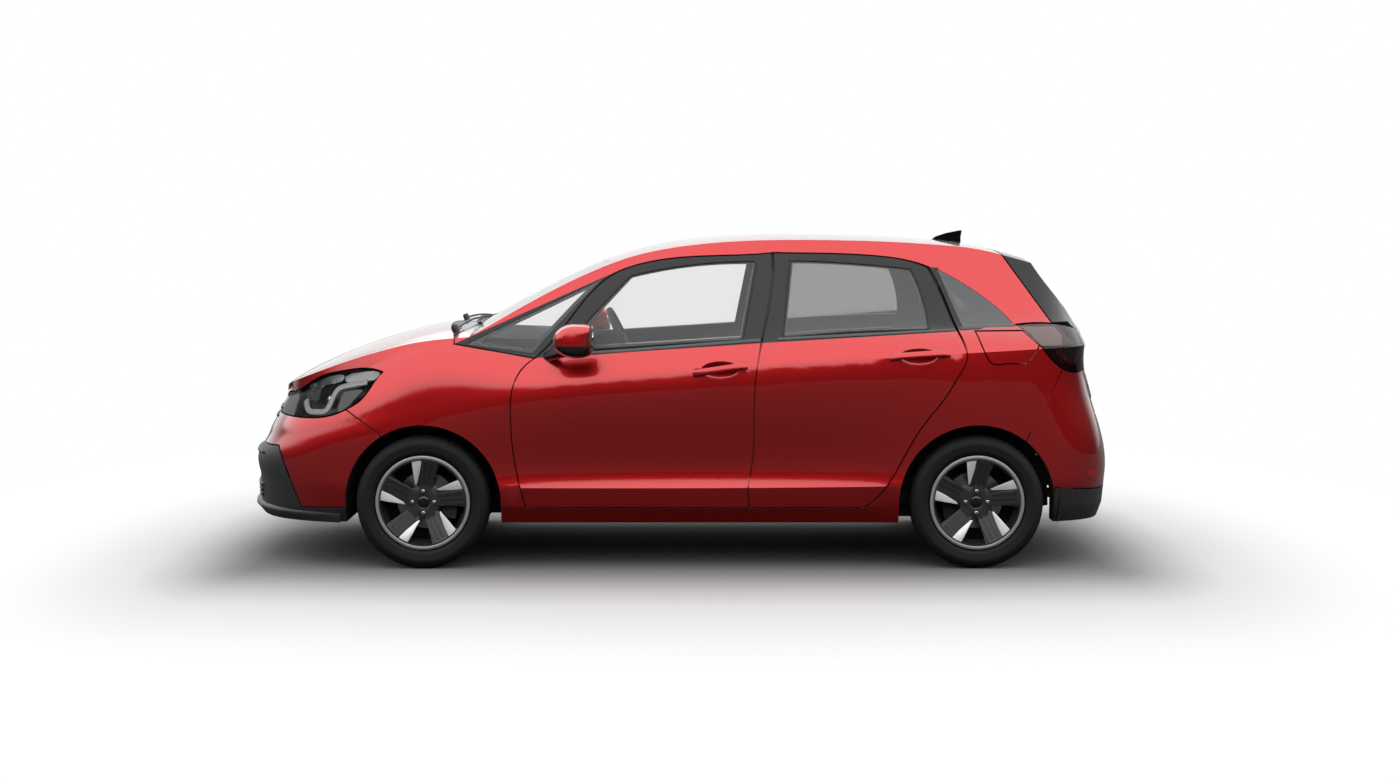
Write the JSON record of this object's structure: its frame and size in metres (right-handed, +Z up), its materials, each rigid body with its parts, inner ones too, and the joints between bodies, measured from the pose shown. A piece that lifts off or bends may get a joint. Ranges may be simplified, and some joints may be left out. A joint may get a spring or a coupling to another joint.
{
  "type": "five-door hatchback car",
  "caption": "Compact five-door hatchback car with opening doors, bonnet, tailgate and fuel lid, rolling wheels and coupled front steering.",
  "frame": {"origin": "middle of the box round the car, on the floor under its tyres", "axes": "+X to the tail, -X to the nose, -Y to the car's left side, +Z up"},
  "size_m": [4.0863, 2.04, 1.541],
  "materials": {
    "paint": "red metallic, glossy",
    "structure": "painted inner panels",
    "black_plastic": "grained",
    "gloss_black": "glossy",
    "clear_glass": "clear",
    "privacy_glass": "dark tint",
    "lamp_lens": "clear lens",
    "tail_lens": "red lens",
    "tyre": "road tyre",
    "alloy": "cast, part machined",
    "disc_iron": "machined",
    "steel": "black coated",
    "exhaust_steel": "plain",
    "engine_metal": "cast",
    "trim": "soft dark trim",
    "seat_fabric": "woven",
    "wheel_leather": "smooth"
  },
  "bodies": {
    "body": {"front_bumper": "paint", "front_grilles": "gloss_black", "fenders": "paint", "headlamps": "lamp_lens", "tail_lamps": "tail_lens", "fixed_side_glass": "privacy_glass", "windscreen": "clear_glass", "roof_panel": "paint", "rear_bumper": "paint", "rear_valance": "black_plastic", "body_sides": "paint", "cowl": "black_plastic", "front_structure": "structure", "floor_pan": "structure", "roof_frame": "trim", "left_side_frame": "structure", "right_side_frame": "structure", "front_subframe": "steel", "rear_axle_beam": "steel", "engine_block": "engine_metal", "drive_shafts": "steel", "exhaust": "exhaust_steel", "dashboard": "trim", "front_seats": "seat_fabric", "rear_seat": "seat_fabric", "antenna_fin": "gloss_black"},
    "bonnet_lid": {"bonnet": "paint"},
    "front_left_door_leaf": {"front_left_door": "paint", "front_left_door_glass": "clear_glass", "left_mirror": "gloss_black"},
    "front_right_door_leaf": {"front_right_door": "paint", "front_right_door_glass": "clear_glass", "right_mirror": "gloss_black"},
    "rear_left_door_leaf": {"rear_left_door": "paint", "rear_left_door_glass": "privacy_glass"},
    "rear_right_door_leaf": {"rear_right_door": "paint", "rear_right_door_glass": "privacy_glass"},
    "tailgate_lid": {"tailgate": "paint", "tailgate_glass": "privacy_glass"},
    "filler_lid": {"fuel_lid": "paint"},
    "left_steered_knuckle": {"left_knuckle": "steel"},
    "right_steered_knuckle": {"right_knuckle": "steel"},
    "steering_wheel_and_column": {"steering_wheel": "wheel_leather"},
    "front_left_road_wheel": {"front_left_tyre": "tyre", "front_left_wheel": "alloy", "front_left_disc": "disc_iron"},
    "front_right_road_wheel": {"front_right_tyre": "tyre", "front_right_wheel": "alloy", "front_right_disc": "disc_iron"},
    "rear_left_road_wheel": {"rear_left_tyre": "tyre", "rear_left_wheel": "alloy", "rear_left_disc": "disc_iron"},
    "rear_right_road_wheel": {"rear_right_tyre": "tyre", "rear_right_wheel": "alloy", "rear_right_disc": "disc_iron"}
  },
  "joints": [
    {"name": "left_wheel_steer", "type": "hinge", "parent": "body", "child": "left_steered_knuckle", "pos_m": [-1.17, -0.66, 0.19], "axis": [0, 0.1618, 0.9868], "range_deg": [-34, 34]},
    {"name": "front_left_wheel_roll", "type": "hinge", "parent": "left_steered_knuckle", "child": "front_left_road_wheel", "pos_m": [-1.17, -0.74, 0.305], "axis": [0, 1, 0], "continuous": true},
    {"name": "rear_left_wheel_roll", "type": "hinge", "parent": "body", "child": "rear_left_road_wheel", "pos_m": [1.36, -0.735, 0.305], "axis": [0, 1, 0], "continuous": true},
    {"name": "front_left_door_swing", "type": "hinge", "parent": "body", "child": "front_left_door_leaf", "pos_m": [-0.762, -0.8475, 0.62], "axis": [0, 0, -1], "range_deg": [0, 68]},
    {"name": "rear_left_door_swing", "type": "hinge", "parent": "body", "child": "rear_left_door_leaf", "pos_m": [0.3175, -0.8503, 0.62], "axis": [0, 0, -1], "range_deg": [0, 74]},
    {"name": "right_wheel_steer", "type": "hinge", "parent": "body", "child": "right_steered_knuckle", "pos_m": [-1.17, 0.66, 0.19], "axis": [0, -0.1618, 0.9868], "range_deg": [-34, 34]},
    {"name": "front_right_wheel_roll", "type": "hinge", "parent": "right_steered_knuckle", "child": "front_right_road_wheel", "pos_m": [-1.17, 0.74, 0.305], "axis": [0, 1, 0], "continuous": true},
    {"name": "rear_right_wheel_roll", "type": "hinge", "parent": "body", "child": "rear_right_road_wheel", "pos_m": [1.36, 0.735, 0.305], "axis": [0, 1, 0], "continuous": true},
    {"name": "front_right_door_swing", "type": "hinge", "parent": "body", "child": "front_right_door_leaf", "pos_m": [-0.762, 0.8475, 0.62], "axis": [0, 0, 1], "range_deg": [0, 68]},
    {"name": "rear_right_door_swing", "type": "hinge", "parent": "body", "child": "rear_right_door_leaf", "pos_m": [0.3175, 0.8503, 0.62], "axis": [0, 0, 1], "range_deg": [0, 74]},
    {"name": "bonnet_lift", "type": "hinge", "parent": "body", "child": "bonnet_lid", "pos_m": [-1.0322, 0, 1.095], "axis": [0, 1, 0], "range_deg": [0, 48]},
    {"name": "tailgate_lift", "type": "hinge", "parent": "body", "child": "tailgate_lid", "pos_m": [1.4832, 0, 1.458], "axis": [0, -1, 0], "range_deg": [0, 78]},
    {"name": "fuel_lid_swing", "type": "hinge", "parent": "body", "child": "filler_lid", "pos_m": [1.3765, -0.814, 1.037], "axis": [0.3092, -0.5474, -0.7776], "range_deg": [0, 75]},
    {"name": "steering_wheel_turn", "type": "hinge", "parent": "body", "child": "steering_wheel_and_column", "pos_m": [-0.25414, -0.37036, 0.99757], "axis": [0.9063, 0, 0.4226], "range_deg": [-480, 480]}
  ],
  "couplings": [
    {"joint": "right_wheel_steer", "follows": "left_wheel_steer", "ratio": 1},
    {"joint": "steering_wheel_turn", "follows": "left_wheel_steer", "ratio": 14}
  ]
}
